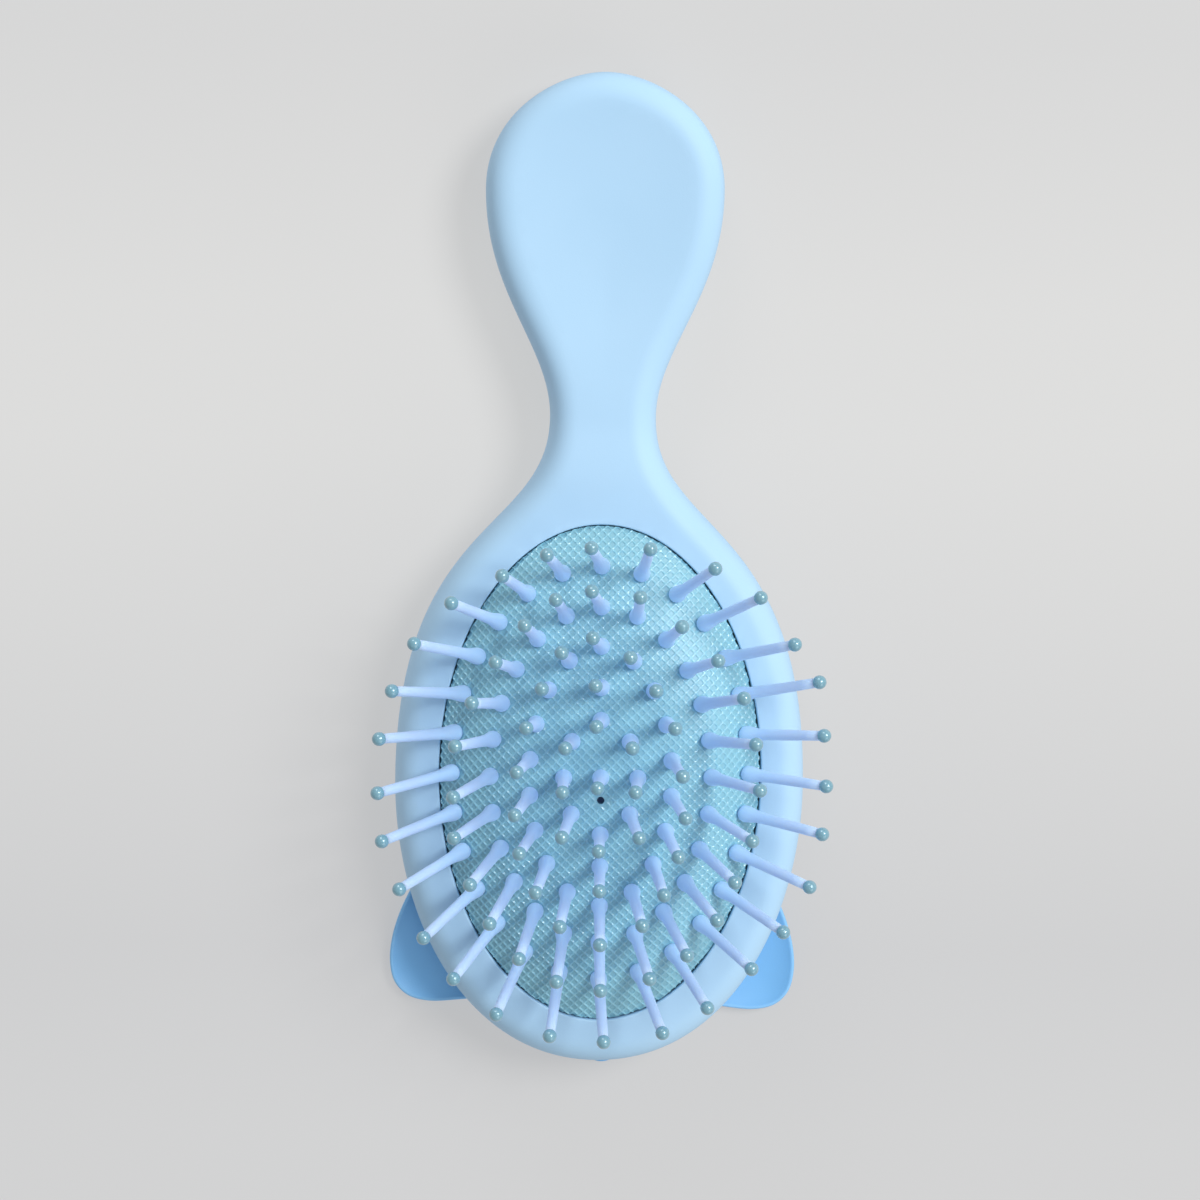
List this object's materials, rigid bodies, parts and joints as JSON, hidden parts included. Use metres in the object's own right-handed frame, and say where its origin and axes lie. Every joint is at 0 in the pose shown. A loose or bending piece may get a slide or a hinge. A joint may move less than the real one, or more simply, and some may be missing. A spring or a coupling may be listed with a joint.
{
  "type": "cushion hair brush",
  "caption": "Small hair brush with a paddle handle, an oval air cushion of ball-tipped pins, and a back plate with two ears and a small crest.",
  "frame": {"origin": "middle of the bounding box in plan, on the surface that the brush lies on with its pins up", "axes": "+Z out of the brushing face, +Y along the handle towards its end, +X to the right seen from the brushing face with the handle up"},
  "size_m": [0.0778, 0.1735, 0.0417],
  "materials": {
    "soft_blue": "smooth soft-touch satin",
    "teal_rubber": "satin, with a fine diamond lattice of ridges in the scene",
    "lavender_plastic": "slightly clear, glossy",
    "ear_blue": "semi-gloss moulded",
    "hidden_plastic": "plain moulded",
    "pad_foam": "matte foam"
  },
  "bodies": {
    "brush_body": {"front_shell": "soft_blue", "back_shell": "soft_blue", "cushion_base_plate": "hidden_plastic", "air_cushion": "teal_rubber", "ear_plate": "ear_blue", "adhesive_pad": "pad_foam"},
    "centre_pins": {"middle_row_pins": "lavender_plastic", "inner_pins_left": "lavender_plastic", "inner_pins_right": "lavender_plastic"},
    "third_oval": {"third_pins_top": "lavender_plastic", "third_pins_left": "lavender_plastic", "third_pins_bottom": "lavender_plastic", "third_pins_right": "lavender_plastic"},
    "second_oval": {"second_pins_top": "lavender_plastic", "second_pins_left": "lavender_plastic", "second_pins_bottom": "lavender_plastic", "second_pins_right": "lavender_plastic"},
    "outer_oval": {"outer_pins_top": "lavender_plastic", "outer_pins_left": "lavender_plastic", "outer_pins_bottom": "lavender_plastic", "outer_pins_right": "lavender_plastic"}
  },
  "joints": [
    {"name": "cushion_press", "type": "slide", "parent": "brush_body", "child": "centre_pins", "axis": [0, 0, -1], "range_m": [0, 0.004], "stiffness_N_per_m": 400, "deforming": ["air_cushion"]},
    {"name": "third_oval_press", "type": "slide", "parent": "brush_body", "child": "third_oval", "axis": [0, 0, -1], "range_m": [0, 0.0036], "stiffness_N_per_m": 400},
    {"name": "second_oval_press", "type": "slide", "parent": "brush_body", "child": "second_oval", "axis": [0, 0, -1], "range_m": [0, 0.0029], "stiffness_N_per_m": 400},
    {"name": "outer_oval_press", "type": "slide", "parent": "brush_body", "child": "outer_oval", "axis": [0, 0, -1], "range_m": [0, 0.0015], "stiffness_N_per_m": 400}
  ],
  "couplings": [
    {"joint": "third_oval_press", "follows": "cushion_press", "ratio": 0.88},
    {"joint": "second_oval_press", "follows": "cushion_press", "ratio": 0.71},
    {"joint": "outer_oval_press", "follows": "cushion_press", "ratio": 0.35}
  ]
}
